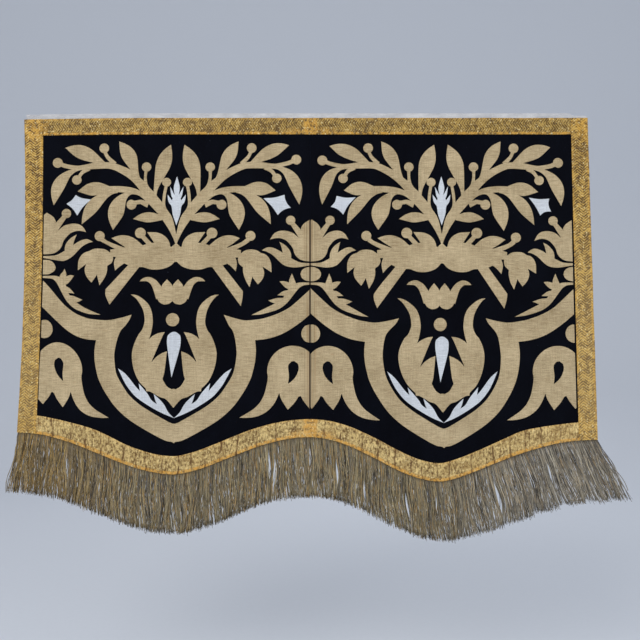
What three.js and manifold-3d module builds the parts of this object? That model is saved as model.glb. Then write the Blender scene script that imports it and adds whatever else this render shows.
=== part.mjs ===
// A velvet wall hanging: two loom widths of black velvet joined by a seam up the middle, with foliate
// figures in gold and silver cloth, a gold galloon round the edge, a white heading strip along the top
// and a metal-thread fringe below a double scallop.
//
// The hanging is drawn flat: across is measured to the right of the seam, down from the top edge of the
// galloon, and out from the wall. The finished group is then stood up, so that +Z is up, the face looks
// along -Y and the origin is on the wall side, at the top end of the seam.

import * as THREE from 'three';
import { mergeVertices } from 'three/addons/utils/BufferGeometryUtils.js';
import Module from 'manifold-3d';

const wasm = await Module();
wasm.setup();

// Driving dimensions, in millimetres.
const GAP = 0.3;                 // between pieces that are sewn or laid together
const HEM_GAP = 0.9;             // between the velvet's curved hem and the fringe's strip
const CLOTH_THICK = 2.0;         // velvet with its pile, and the doubled heading
const FRINGE_THICK = 1.8;
const FIGURE_THICK = 0.8;        // gold and silver cloth
const GALLOON_THICK = 1.2;
const GALLOON_WIDTH = 37.5;
const TOP_GALLOON_WIDTH = 35.5;
const HEADING_SHOWS = 11;        // heading above the galloon
const HEADING_SHOWS_END = 5.5;   // its turned-in right end
const HEADING_STEP = 552;        // where that end begins, right of the seam
const LAP = 15;                  // how far the galloon covers the heading and the fringe's strip
const EDGE_INSET = 2;            // the cloth stops this far inside the galloon's outer edge
const FRINGE_LENGTH = 121;       // threads that show below the galloon
const DROP_AT_SEAM = 674;        // top edge of the galloon to its lower edge, at the seam
const HAIR = 0.7;                // how closely a cut edge keeps to its drawing

// The two loom widths, as uneven as the cloth is: the axis and reach of the figures drawn on each, the
// velvet left bare beside the galloon, the outer edge at its top, waist and foot, the galloon's width at
// the same three places, and the scallop's lowest point, with how round it is towards the seam and towards
// the corner. The right one sags round its axis, and the left one's figures ride up by its outer edge.
// Strays are places where the weave has drawn the figures out of true, and by how much.
const WIDTHS = {
  left: {
    sign: -1, axis: 282, reach: 282, sag: 0, outward: { across: 9, down: -15 }, gather: 10, bare: 3,
    edge: [608, 600, 607.5], galloon: [40, 36.5, 39.5],
    lowestAt: 282, lowest: 750, corner: 664, round: [0.85, 0.95],
    strays: [
      { at: [-135, 440], spread: [42, 70], by: [6.5, 0] },
      { at: [-102, 420], spread: [30, 28], by: [8, 0] },
      { at: [-140, 385], spread: [35, 30], by: [-9, -4] },
      { at: [-178, 320], spread: [45, 45], by: [-6, -6] },
      { at: [-157, 253], spread: [24, 24], by: [-4, 1] },
      { at: [-250, 90], spread: [60, 80], by: [0, 7] },
      { at: [-246, 334], spread: [14, 14], by: [2, 6] },
    ],
  },
  right: {
    sign: 1, axis: 277.5, reach: 274, sag: 10, outward: { across: 0, down: 0 }, gather: 0, bare: 3.8,
    edge: [590, 593, 596], galloon: [36, 37.5, 39],
    lowestAt: 270, lowest: 764.5, corner: 679, round: [0.97, 0.74],
    strays: [
      { at: [146, 470], spread: [42, 90], by: [-6.5, 0] },
      { at: [102, 420], spread: [25, 25], by: [-10, 0] },
      { at: [-102, 420], spread: [26, 26], by: [12, 0] },
      { at: [-88, 460], spread: [28, 110], by: [-6.5, 0] },
      { at: [84, 440], spread: [26, 70], by: [5, 0] },
      { at: [-140, 385], spread: [28, 26], by: [-7, -1] },
      { at: [-165, 215], spread: [55, 75], by: [-9, 0] },
      { at: [-175, 318], spread: [38, 34], by: [-6, 0] },
      { at: [160, 285], spread: [55, 60], by: [5, 5] },
      { at: [255, 110], spread: [70, 80], by: [2, 7.5] },
      { at: [-245, 75], spread: [60, 45], by: [-7, 2] },
    ],
  },
};

const MATERIALS = {
  velvet: { color: '#0b0c12', roughness: 0.9, metalness: 0 },
  gold_cloth: { color: '#c0aa7e', roughness: 0.7, metalness: 0.2 },
  silver_cloth: { color: '#d9dade', roughness: 0.6, metalness: 0.2 },
  galloon: { color: '#b98f45', roughness: 0.5, metalness: 0.6 },
  fringe_thread: { color: '#83765a', roughness: 0.55, metalness: 0.4 },
  heading_cotton: { color: '#cfccd2', roughness: 0.9, metalness: 0 },
};

const { lerp, clamp, smoothstep } = THREE.MathUtils;

// Edges of the hanging.

// A soft curve down the hanging through its values at the top, waist and foot.
function alongSide([top, waist, foot], down) {
  const t = clamp(down / DROP_AT_SEAM, 0, 1);
  const bend = waist - (top + foot) / 2;
  return lerp(top, foot, t) + bend * 4 * t * (1 - t);
}

const outerEdge = (width, down) => width.sign * alongSide(width.edge, down);

const innerEdge = (width, down) => outerEdge(width, down) - width.sign * alongSide(width.galloon, down);

// Down of the galloon's top edge, which dips a little towards the left corner.
function topEdge(across) {
  const dip = 3.5;
  const dipStart = -300;
  return dip * clamp((dipStart - across) / (WIDTHS.left.edge[0] + dipStart), 0, 1) ** 2;
}

// Down of the galloon's lower edge: one scallop to each width, with its crests at seam and corner.
function hem(across) {
  const width = across < 0 ? WIDTHS.left : WIDTHS.right;
  const past = Math.abs(across) - width.lowestAt;
  const crest = past < 0 ? DROP_AT_SEAM : width.corner;
  const reach = past < 0 ? width.lowestAt : width.edge[2] - width.lowestAt;
  const share = clamp(Math.abs(past) / reach, 0, 1) ** (past < 0 ? width.round[0] : width.round[1]);
  return lerp(width.lowest, crest, (1 - Math.cos(Math.PI * share)) / 2);
}

// Outlines of the figures, each a closed list of points across and down from a width's own axis.

const spot = ([across, down]) => new THREE.Vector2(across, down);

function oval(across, down, halfWidth, halfHeight = halfWidth, sides = 24) {
  const curve = new THREE.EllipseCurve(across, down, halfWidth, halfHeight);
  return curve.getPoints(sides).slice(0, sides);
}

// A berry knows its middle, and stays round where the drawing is laid out of true.
function berry(across, down, radius) {
  return Object.assign(oval(across, down, radius, radius, 12), { middle: spot([across, down]) });
}

// An outline with all its points moved, or a berry moved as a whole.
function moved(outline, move) {
  const { middle } = outline;
  if (!middle) {
    return outline.map(move);
  }
  const to = move(middle);
  return Object.assign(outline.map((point) => to.clone().add(point).sub(middle)), { middle: to });
}

// Both sides of a rib: half widths are laid off square to a curve, from its start to its end. Where the
// width runs out, the two sides meet in one corner.
function bothSides(curve, halfWidthAt, steps) {
  const right = [];
  const left = [];
  const runOut = 0.5;
  for (let step = 0; step <= steps; step += 1) {
    const t = step / steps;
    const point = curve.getPoint(t);
    const along = curve.getTangent(t);
    const half = halfWidthAt(t);
    const square = new THREE.Vector2(-along.y, along.x);
    if (half < runOut) {
      right.push(point.clone());
    } else {
      right.push(point.clone().addScaledVector(square, half));
      left.push(point.clone().addScaledVector(square, -half));
    }
  }
  return [...right, ...left.reverse()];
}

// A stalk, band or horn through knots of across, down and half width.
function ribbon(knots, steps = 4 * (knots.length - 1)) {
  const curve = new THREE.SplineCurve(knots.map(spot));
  const widths = new THREE.SplineCurve(knots.map((knot, index) => new THREE.Vector2(index, knot[2])));
  return bothSides(curve, (t) => Math.max(0, widths.getPoint(t).y), steps);
}

// A leaf or petal: its rib bows from base to tip by way of a pull point, and its width swells to the
// belly, which lies a share of the way along, and runs out to a point.
function leaf({ base, pull, tip, belly, full = 0.5, neck = 1.5 }, steps = 9) {
  const bow = pull ?? [(base[0] + tip[0]) / 2, (base[1] + tip[1]) / 2];
  const rib = new THREE.QuadraticBezierCurve(spot(base), spot(bow), spot(tip));
  const power = Math.log(0.5) / Math.log(full);
  const half = (t) => (belly / 2) * Math.sin(Math.PI * t ** power) + (neck / 2) * (1 - t) ** 3;
  return bothSides(rib, half, steps);
}

// A star with sides drawn in towards its middle.
function star(tips, middle, pinch) {
  const outline = [];
  tips.forEach((tip, index) => {
    const next = spot(tips[(index + 1) % tips.length]);
    const pulled = spot(tip).lerp(next, 0.5).lerp(spot(middle), pinch);
    outline.push(...new THREE.QuadraticBezierCurve(spot(tip), pulled, next).getPoints(4).slice(0, 4));
  });
  return outline;
}

const mirrored = (outline) => moved(outline, (point) => new THREE.Vector2(-point.x, point.y));

// The figures of one width. A symmetric figure lists its right half and the pieces on the axis; a side
// figure lists its right-hand form, and the left one is its mirror image. Cuts are taken out last.

// Twin branches that part above a spread base, with leaves and berries on them.
function branches() {
  const trunk = ribbon([[0, 272, 0.4], [3, 256, 3.6], [8.5, 239, 6.4], [17, 220, 9.5], [30, 199, 11],
    [44, 184, 11.5], [57, 168, 11.5], [70, 152, 9.5], [87, 135, 8.5], [105, 121, 8], [130, 107.5, 7], [150, 102, 6.7],
    [182, 102, 6.5], [206, 103.5, 4.6], [232, 98.5, 4.3], [246, 93, 4.4]]);
  const lowerBranch = ribbon([[60, 174, 7], [78, 162.5, 5.2], [97, 157, 6.6], [118, 153.5, 6.2],
    [142, 153.5, 6.5]]);
  const leaves = [
    { base: [47, 168], pull: [41, 116], tip: [15, 58], belly: 33, full: 0.66, neck: 7 },
    { base: [88, 128], pull: [106, 84], tip: [130, 51], belly: 27, full: 0.58, neck: 9 },
    { base: [158, 99], pull: [198, 67], tip: [237, 59], belly: 27, full: 0.54, neck: 9 },
    { base: [203, 105], pull: [254, 111], tip: [259, 186], belly: 26, full: 0.64, neck: 7 },
    { base: [136, 153.5], pull: [172, 149], tip: [209, 156], belly: 28, full: 0.55, neck: 6 },
    { base: [126, 157], pull: [170, 164], tip: [199, 228], belly: 26, full: 0.64, neck: 8 },
    { base: [94, 159], pull: [130, 169], tip: [132, 240], belly: 33, full: 0.66, neck: 9 },
    { base: [30, 215], pull: [62, 211], tip: [91, 217], belly: 20, full: 0.5, neck: 9 },
  ].map((row) => leaf(row));
  const stalks = [
    [[22.5, 145, 3], [26, 165, 3.1], [27, 196, 3.6]],
    [[70.5, 112, 3.4], [70.8, 128, 3.2], [67, 146, 4.2]],
    [[157, 72, 3.2], [151, 84, 3.4], [137, 99, 4.6]],
    [[186, 107, 4.2], [200, 114, 3.9], [208, 125, 3.5]],
    [[60, 187, 6], [76, 180.5, 4.3], [90, 183, 4.6]],
  ].map((knots) => ribbon(knots));
  const berries = [[22.4, 138.6, 9.4], [70.4, 106, 9.9], [158, 65, 10.2], [252.6, 90, 10.4],
    [211.5, 130, 9.9], [95, 186.5, 10.4]].map((row) => berry(...row));
  const heart = leaf({ base: [0, 308], tip: [0, 268], belly: 30, full: 0.5, neck: 16 });
  return { middle: [heart], pairs: [trunk, lowerBranch, ...leaves, ...stalks, ...berries, ...spreadBase()] };
}

// The base of the branches: two great lobes, pointed leaves, slanting bars and a tulip at each side.
function spreadBase() {
  const lobe = oval(43, 296, 45, 28.5);
  const shoulder = ribbon([[38, 300, 18], [80, 300, 19], [104, 294, 18], [120, 290, 10], [136, 291, 7.5]]);
  const bar = [[70, 310], [86, 300], [141, 370], [140.5, 383], [137, 401]].map(spot);
  const points = [
    { base: [16, 296], pull: [22, 262], tip: [61, 245], belly: 27, full: 0.5 },
    { base: [54, 300], pull: [92, 261], tip: [134, 258], belly: 24, full: 0.6, neck: 16 },
    { base: [96, 292], pull: [120, 298], tip: [126, 328], belly: 19, full: 0.5, neck: 20 },
    { base: [152, 288], pull: [150, 325], tip: [155, 361], belly: 21, full: 0.5 },
    { base: [166, 292], pull: [175, 328], tip: [172.5, 355.5], belly: 26, full: 0.58 },
    { base: [166, 290], pull: [186, 300], tip: [201, 330], belly: 23, full: 0.5 },
  ].map((row) => leaf(row));
  const crown = oval(158, 303, 27.5, 21);
  const stalks = [
    [[70, 255, 4.4], [58, 268, 4.8], [42, 286, 5]],
    [[152, 261, 4.6], [138, 271, 4.2], [102, 287, 6]],
  ].map((knots) => ribbon(knots));
  const berries = [berry(75.4, 247, 11.2), berry(156.5, 253, 10.4)];
  return [lobe, shoulder, bar, ...points, crown, ...stalks, ...berries];
}

// A silver flame with two tiers of barbs, between the branches.
function flame() {
  const body = leaf({ base: [0, 160], tip: [0, 230], belly: 21, full: 0.4 });
  const blade = leaf({ base: [0, 172], tip: [0, 126.5], belly: 12, full: 0.46 });
  const barbs = [
    { base: [1, 178], pull: [7.5, 172], tip: [14, 148.5], belly: 6.4, full: 0.5 },
    { base: [3, 194], pull: [12.5, 184], tip: [19, 165.5], belly: 7.6, full: 0.5 },
  ].map((row) => leaf(row));
  return { middle: [body, blade], pairs: barbs };
}

// The four stars differ in size and turn: their tips towards the axis, upwards, outwards and downwards.
const STARS = {
  left_l: [[181, 175], [213, 164], [232, 183], [209, 209]],
  left_r: [[184, 173], [228, 165.5], [241, 193], [214, 208.5]],
  right_l: [[181, 171], [226, 168], [239, 191], [209, 207.6]],
  right_r: [[190, 170], [233, 170], [237, 199], [213.5, 208]],
};

const fourPointStar = (place) => ({ pieces: [star(STARS[place], [212, 184], 0.3)] });

// An open crown of two round petals between two that curl outwards.
function crown() {
  const curl = ribbon([[68.5, 349, 0.4], [60, 345.5, 3.2], [49, 345.5, 5.2], [38, 353.5, 7.2],
    [30, 367, 9.2], [23, 382, 11.5]]);
  const lobe = oval(14.5, 379.5, 18, 18.5);
  const petal = leaf({ base: [11, 395], tip: [11.5, 345], belly: 23.5, full: 0.62, neck: 10 });
  return { shift: -6.5, pairs: [curl, lobe, petal] };
}

const dot = () => ({ shift: -5.4, middle: [oval(0, 430, 13.7)] });

const silverDrop = () => ({
  shift: -2,
  middle: [leaf({ base: [0, 456], pull: [0, 500], tip: [-4.2, 550], belly: 25, full: 0.25, neck: 8 }, 14)],
});

// A heart of four petals with long horns, and a keyhole left open in its middle.
function tulip() {
  const horn = ribbon([[92, 377.6, 0.4], [82, 381.5, 3], [71, 391, 6.2], [61, 405, 8.6], [56.3, 420, 9.3],
    [55, 437, 9.3], [59, 455, 10.5], [66, 471, 13.5], [70, 498, 18.5], [65, 526, 20], [54, 549, 20],
    [38, 565, 18.5], [21, 580, 13], [0, 588.5, 10.5]]);
  const point = leaf({ base: [0, 574], tip: [0, 613], belly: 40, full: 0.3 });
  const cusp = leaf({ base: [0, 592], tip: [0, 574], belly: 5, full: 0.4, neck: 8 });
  const petals = [
    { base: [62, 532], pull: [52, 474], tip: [20, 456], belly: 24, full: 0.5, neck: 20 },
    { base: [45, 580], pull: [39, 522], tip: [15, 496], belly: 30, full: 0.46, neck: 24 },
  ].map((row) => leaf(row));
  return { shift: -1.5, middle: [point, cusp], pairs: [horn, ...petals] };
}

// A broad band that hangs in a pointed loop and sends an arm to each side.
function scroll() {
  const half = [[20, 659, 18.6], [51, 641, 18.6], [79, 624.5, 18.8], [109, 598, 18.6], [136, 557, 18.8],
    [146, 525, 19.6], [149, 496, 20], [146, 470, 20], [136, 446, 17]];
  const whole = [...half.map(([across, down, wide]) => [-across, down, wide]).reverse(), [0, 665, 18.8],
    ...half];
  const loop = ribbon(whole);
  const keel = leaf({ base: [0, 660], tip: [0, 686], belly: 30, full: 0.35, neck: 16 });
  const arm = ribbon([[102, 420, 0.4], [112, 429, 6], [128, 441, 14], [150, 451, 20], [183, 449.5, 21.5],
    [215, 440, 21.3], [246, 423, 19.4], [272, 402, 19.2], [300, 376, 19.2]]);
  return { middle: [loop, keel], pairs: [arm] };
}

// A silver spray with two barbs, inside the loop.
function spray() {
  const spine = ribbon([[0.5, 634, 0.4], [20, 621.5, 4.4], [46, 606, 6], [74, 586, 7], [94, 563.5, 6.4],
    [106, 546, 4.6], [118.5, 532, 0.4]]);
  const barbs = [
    { base: [10, 628], pull: [28, 610], tip: [42.5, 585], belly: 11.5, full: 0.5 },
    { base: [40, 610], pull: [62, 593], tip: [74, 563], belly: 12.5, full: 0.5 },
  ].map((row) => leaf(row));
  return { pieces: [spine, ...barbs] };
}

// Half a flower that the edge of the width cuts: a tall middle petal, a wing and a berry.
function flower() {
  const wing = ribbon([[198, 260.5, 0.4], [211, 252, 6], [225, 250.5, 8.6], [241, 256.5, 10.6], [255, 271, 12.4],
    [268, 286, 18], [290, 290, 17.5]]);
  const petal = leaf({ base: [282, 300], tip: [282, 218.5], belly: 38, full: 0.75, neck: 20 });
  const stalk = ribbon([[245, 227, 4.6], [257, 243, 6], [272, 262, 9]]);
  const body = oval(282, 272, 18.6, 34);
  return { pieces: [wing, petal, body, stalk, berry(241, 220, 9.8)] };
}

function wing() {
  const blade = ribbon([[181, 283.5, 0.4], [195, 282.5, 5.4], [208, 288, 7.4], [221, 298, 9.5],
    [234, 307, 10], [249, 312.5, 7.4], [266, 314, 3.8], [292, 312.6, 1.4]]);
  const tip = leaf({ base: [235, 313], pull: [238, 286], tip: [218, 266], belly: 16, full: 0.42 });
  return { pieces: [blade, tip] };
}

const edgeOval = () => ({ pieces: [oval(283, 334, 21, 15.2)] });

// A saw-edged leaf that lies along the arm of the scroll.
function sawLeaf() {
  const spine = ribbon([[292, 354, 1.6], [270, 354.5, 2.8], [257, 358, 5.6], [246, 366, 8], [237, 379, 7],
    [228, 391, 6.6], [213, 401.5, 6.8], [194, 409.5, 5.2], [177, 415.5, 3.4], [160, 420, 0.4]]);
  const teeth = [
    { base: [249, 364], pull: [243, 352], tip: [244, 333], belly: 14, full: 0.42 },
    { base: [247, 366], pull: [235, 356], tip: [218.5, 349.5], belly: 13, full: 0.45 },
    { base: [242, 371], pull: [230, 374], tip: [214, 378.5], belly: 10, full: 0.45 },
    { base: [232, 386], pull: [215, 393], tip: [195, 389.7], belly: 12, full: 0.45 },
  ].map((row) => leaf(row));
  return { pieces: [spine, ...teeth] };
}

const edgeDot = () => ({ pieces: [oval(282, 459, 18, 19)] });

// Half a bellflower with a drop-shaped eye, a long horn and two downward petals.
function bell() {
  const horn = ribbon([[136, 633.5, 0.4], [152, 629, 4.8], [171, 622, 8.8], [188, 609, 12], [199, 592, 13.6],
    [206, 572, 15], [212, 552, 18]]);
  const dome = oval(246, 538, 53, 53.5, 32);
  const petals = [
    { base: [243, 545], tip: [236, 617], belly: 43, full: 0.46 },
    { base: [284, 545], tip: [281.5, 615], belly: 45, full: 0.46 },
  ].map((row) => leaf(row));
  const eye = leaf({ base: [246.5, 516.5], pull: [251, 545], tip: [236, 564], belly: 20, full: 0.3, neck: 6 });
  return { pieces: [horn, dome, ...petals], cuts: [eye] };
}

const FIGURES = [
  { name: 'branches', draw: branches, cloth: 'gold_cloth' },
  { name: 'flame', draw: flame, cloth: 'silver_cloth' },
  { name: 'star', draw: fourPointStar, cloth: 'silver_cloth', paired: true },
  { name: 'crown', draw: crown, cloth: 'gold_cloth' },
  { name: 'tulip', draw: tulip, cloth: 'gold_cloth' },
  { name: 'dot', draw: dot, cloth: 'gold_cloth' },
  { name: 'drop', draw: silverDrop, cloth: 'silver_cloth' },
  { name: 'scroll', draw: scroll, cloth: 'gold_cloth', rides: true },
  { name: 'spray', draw: spray, cloth: 'silver_cloth', paired: true },
  { name: 'flower', draw: flower, cloth: 'gold_cloth', paired: true, rides: true },
  { name: 'wing', draw: wing, cloth: 'gold_cloth', paired: true, rides: true },
  { name: 'edge_oval', draw: edgeOval, cloth: 'gold_cloth', paired: true, rides: true },
  { name: 'saw_leaf', draw: sawLeaf, cloth: 'gold_cloth', paired: true, rides: true },
  { name: 'edge_dot', draw: edgeDot, cloth: 'gold_cloth', paired: true, rides: true },
  { name: 'bell', draw: bell, cloth: 'gold_cloth', paired: true, rides: true },
];

// Solids.

function toSolid(geometry) {
  geometry.deleteAttribute('normal');
  geometry.deleteAttribute('uv');
  const merged = mergeVertices(geometry);
  const vertProperties = new Float32Array(merged.attributes.position.array);
  const triVerts = new Uint32Array(merged.index.array);
  return new wasm.Manifold(new wasm.Mesh({ numProp: 3, vertProperties, triVerts }));
}

// A flat piece of cloth with the given outline, across and down, from one height to another.
function cutCloth(outline, low, high, openings = []) {
  const drawn = (line) => line.map((point) => new THREE.Vector2(point.x, -point.y));
  const shape = new THREE.Shape(drawn(outline));
  shape.holes = openings.map((line) => new THREE.Path(drawn(line)));
  const geometry = new THREE.ExtrudeGeometry(shape, { depth: high - low, bevelEnabled: false, steps: 1 });
  return geometry.translate(0, 0, low);
}

// The closed lines round a flat solid's upper face: the outer one first, then those of its openings.
function rims(solid, height) {
  const { vertProperties, triVerts } = solid.getMesh();
  const point = (index) => new THREE.Vector2(vertProperties[3 * index], -vertProperties[3 * index + 1]);
  const onTop = (index) => Math.abs(vertProperties[3 * index + 2] - height) < GAP / 10;
  const sides = new Set();
  for (let first = 0; first < triVerts.length; first += 3) {
    const corners = [...triVerts.subarray(first, first + 3)];
    if (corners.every(onTop)) {
      corners.forEach((from, side) => {
        const to = corners[(side + 1) % 3];
        if (!sides.delete(`${to} ${from}`)) {
          sides.add(`${from} ${to}`);
        }
      });
    }
  }
  const following = new Map([...sides].map((side) => side.split(' ').map(Number)));
  const loops = [];
  while (following.size > 0) {
    const loop = [];
    let [index] = following.keys();
    while (following.has(index)) {
      loop.push(point(index));
      const next = following.get(index);
      following.delete(index);
      index = next;
    }
    loops.push(loop);
  }
  const size = (loop) => Math.abs(THREE.ShapeUtils.area(loop));
  return loops.sort((one, other) => size(other) - size(one));
}

// A closed line without the points that stand less than a hair off the line through their neighbours.
function thinned(loop, hair) {
  const points = [...loop];
  const standsOff = (point, index) => {
    const before = points.at(index - 1);
    const after = points[(index + 1) % points.length];
    const along = after.clone().sub(before);
    return Math.abs(along.cross(point.clone().sub(before))) / along.length();
  };
  for (;;) {
    const off = points.map(standsOff);
    const least = Math.min(...off);
    if (least >= hair || points.length < 5) {
      return points;
    }
    points.splice(off.indexOf(least), 1);
  }
}

// A strip made from a box: where(along, side) gives across and down, and rise(along) lifts its top. Its
// side runs to the left of its length as the face is looked at.
function strip(where, low, thick, steps, rise = () => 0) {
  const box = new THREE.BoxGeometry(1, 1, 1, steps, 1, 1);
  const place = box.attributes.position;
  for (let index = 0; index < place.count; index += 1) {
    const along = place.getX(index) + 0.5;
    const top = place.getZ(index) > 0;
    const [across, down] = where(along, place.getY(index) + 0.5);
    place.setXYZ(index, across, -down, low + (top ? thick + rise(along) : 0));
  }
  return box;
}

function piece(name, material, geometry) {
  const mesh = new THREE.Mesh(geometry, new THREE.MeshStandardMaterial(MATERIALS[material]));
  mesh.name = name;
  return mesh;
}

// Where a point of a figure lies on its width. The drawing is fitted to the width's reach. Below the
// branches it sags round the axis, above it gathers towards the axis, and figures that meet the outer edge
// ride up there. Then the strays pull it.
function lay(point, width, rides) {
  const drawnReach = 282;
  const outwards = width.sign * point.x;
  const lower = smoothstep(point.y, 270, 370);
  const bulge = (1 + Math.cos(Math.PI * clamp(point.x / drawnReach, -1, 1))) / 2;
  const foot = smoothstep(point.y, 300, 380);
  const byEdge = rides ? smoothstep(outwards, lerp(110, 180, foot), lerp(180, 285, foot)) : 0;
  const easing = 1 - 0.35 * smoothstep(point.y, 320, 450);
  const gathered = Math.exp(-(((outwards - 95) / 60) ** 2)) * (1 - smoothstep(point.y, 60, 190));
  const across = width.sign * width.axis + point.x * (width.reach / drawnReach)
    + width.outward.across * byEdge - width.sign * width.gather * gathered;
  const down = point.y + width.sag * lower * bulge + width.outward.down * byEdge * easing;
  return width.strays.reduce((laid, { at, spread, by }) => {
    const [aside, below] = [(point.x - at[0]) / spread[0], (point.y - at[1]) / spread[1]];
    return laid.addScaledVector(spot(by), Math.exp(-(aside ** 2) - below ** 2));
  }, new THREE.Vector2(across, down));
}

// The clear velvet inside the galloon, which figures may cover.
function clearing(width) {
  const margin = HAIR + GAP;
  const aboveHem = GALLOON_WIDTH + 4;
  const top = TOP_GALLOON_WIDTH + margin;
  const seam = width.sign * GAP;
  const farAt = (down) => innerEdge(width, down) - width.sign * width.bare;
  const outline = [];
  const steps = 24;
  for (let step = 0; step <= steps; step += 1) {
    const across = lerp(seam, farAt(DROP_AT_SEAM), step / steps);
    outline.push(new THREE.Vector2(across, hem(across) - aboveHem));
  }
  const foot = hem(farAt(DROP_AT_SEAM)) - aboveHem;
  const rows = 6;
  for (let row = rows - 1; row >= 0; row -= 1) {
    const down = lerp(top, foot, row / rows);
    outline.push(new THREE.Vector2(farAt(down), down));
  }
  outline.push(new THREE.Vector2(seam, top));
  return toSolid(cutCloth(outline, 0, 2 * CLOTH_THICK));
}

// The figure as one piece of cloth: its parts are joined, trimmed to the clear velvet and outlined afresh.
function figureCloth(drawing, hand, width, window, rides) {
  const { pieces = [], middle = [], pairs = [], cuts = [], shift = 0 } = drawing;
  const all = [...middle, ...pairs, ...pairs.map(mirrored), ...pieces];
  const shiftPoint = (point) => new THREE.Vector2(hand * point.x + shift, point.y);
  const low = CLOTH_THICK + GAP;
  const toCloth = (outline, below, above) => {
    const laid = moved(outline, (point) => lay(shiftPoint(point), width, rides));
    return toSolid(cutCloth(laid, below, above));
  };
  let solid = all.map((outline) => toCloth(outline, low, low + FIGURE_THICK)).reduce((a, b) => a.add(b));
  cuts.forEach((outline) => {
    solid = solid.subtract(toCloth(outline, 0, low + 2 * FIGURE_THICK));
  });
  const [outline, ...openings] = rims(solid.intersect(window), low + FIGURE_THICK)
    .map((loop) => thinned(loop, HAIR));
  return cutCloth(outline, low, low + FIGURE_THICK, openings);
}

function figures(side) {
  const width = WIDTHS[side];
  const window = clearing(width);
  const group = new THREE.Group();
  FIGURES.forEach(({ name, draw, cloth, paired, rides }) => {
    const hands = paired ? { _l: -1, _r: 1 } : { '': 1 };
    Object.entries(hands).forEach(([ending, hand]) => {
      const drawing = draw(side + ending);
      group.add(piece(`${side}_${name}${ending}`, cloth, figureCloth(drawing, hand, width, window, rides)));
    });
  });
  return group;
}

// One loom width of velvet, from the seam to just inside the galloon's outer edge.
function velvet(side) {
  const width = WIDTHS[side];
  const outline = [];
  const steps = 36;
  const seam = (width.sign * GAP) / 2;
  const far = (down) => outerEdge(width, down) - width.sign * EDGE_INSET;
  for (let step = 0; step <= steps; step += 1) {
    const across = lerp(seam, far(width.corner), step / steps);
    outline.push(new THREE.Vector2(across, hem(across) - LAP - HEM_GAP));
  }
  const rows = 6;
  const top = (across) => topEdge(across) + LAP + GAP;
  for (let row = rows - 1; row >= 0; row -= 1) {
    const down = lerp(top(far(0)), width.corner - LAP - HEM_GAP, row / rows);
    outline.push(new THREE.Vector2(far(down), down));
  }
  for (let row = rows - 1; row >= 0; row -= 1) {
    const across = lerp(seam, far(0), row / rows);
    outline.push(new THREE.Vector2(across, top(across)));
  }
  return piece(`velvet_${side}`, 'velvet', cutCloth(outline, 0, CLOTH_THICK));
}

// The galloon: four lengths, the upright ones from corner to corner and the others butted to them.
function galloon() {
  const low = CLOTH_THICK + GAP;
  const upright = (width) => strip((along, toRight) => {
    const edges = [outerEdge, innerEdge].map((edge) => edge(width, along * width.corner));
    const across = lerp(Math.min(...edges), Math.max(...edges), toRight);
    return [across, lerp(topEdge(across), hem(across), along)];
  }, low, GALLOON_THICK, 12);
  const joint = 2 * GAP;
  const between = (along, downAt) => {
    const left = innerEdge(WIDTHS.left, downAt(WIDTHS.left)) + joint;
    const right = innerEdge(WIDTHS.right, downAt(WIDTHS.right)) - joint;
    return lerp(left, right, along);
  };
  const top = strip((along, up) => {
    const across = between(along, () => (1 - up) * TOP_GALLOON_WIDTH);
    return [across, topEdge(across) + (1 - up) * TOP_GALLOON_WIDTH];
  }, low, GALLOON_THICK, 12);
  const stations = 110;
  const bottom = strip((along, up) => {
    const across = between(along, (width) => width.corner - up * GALLOON_WIDTH);
    const run = 6;
    const slope = Math.atan((hem(across + run) - hem(across - run)) / (2 * run));
    const eased = 5.5 * Math.exp(-(((Math.abs(across) - 440) / 50) ** 2));
    return [across, hem(across) - up * (GALLOON_WIDTH / Math.cos(slope) + eased)];
  }, low, GALLOON_THICK, stations, tuckRise);
  return [
    piece('galloon_left', 'galloon', upright(WIDTHS.left)),
    piece('galloon_right', 'galloon', upright(WIDTHS.right)),
    piece('galloon_top', 'galloon', top),
    piece('galloon_bottom', 'galloon', bottom),
  ];
}

// Small tucks that take up the galloon's length on the curve of the hem.
function tuckRise(along) {
  const tucks = [0.09, 0.16, 0.2, 0.26, 0.31, 0.37, 0.44, 0.56, 0.6, 0.66, 0.71, 0.76, 0.84, 0.93];
  const halfWidth = 0.0045;
  const height = 0.9;
  return tucks.some((tuck) => Math.abs(along - tuck) < halfWidth) ? height : 0;
}

// The white strip that the hanging is held by: it stands above the galloon, less so at its right end.
function heading() {
  const { left, right } = WIDTHS;
  const outline = [];
  const steps = 8;
  const start = -left.edge[0] + 2 * EDGE_INSET;
  const end = right.edge[0] - EDGE_INSET;
  const stepWide = 6;
  for (let index = 0; index <= steps; index += 1) {
    const across = lerp(start, HEADING_STEP, index / steps);
    outline.push(new THREE.Vector2(across, topEdge(across) - HEADING_SHOWS));
  }
  outline.push(new THREE.Vector2(HEADING_STEP + stepWide, -HEADING_SHOWS_END));
  outline.push(new THREE.Vector2(end, -HEADING_SHOWS_END), new THREE.Vector2(end, LAP));
  for (let index = steps; index >= 0; index -= 1) {
    const across = lerp(start, HEADING_STEP, index / steps);
    outline.push(new THREE.Vector2(across, topEdge(across) + LAP));
  }
  return piece('heading', 'heading_cotton', cutCloth(outline, 0, CLOTH_THICK));
}

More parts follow.
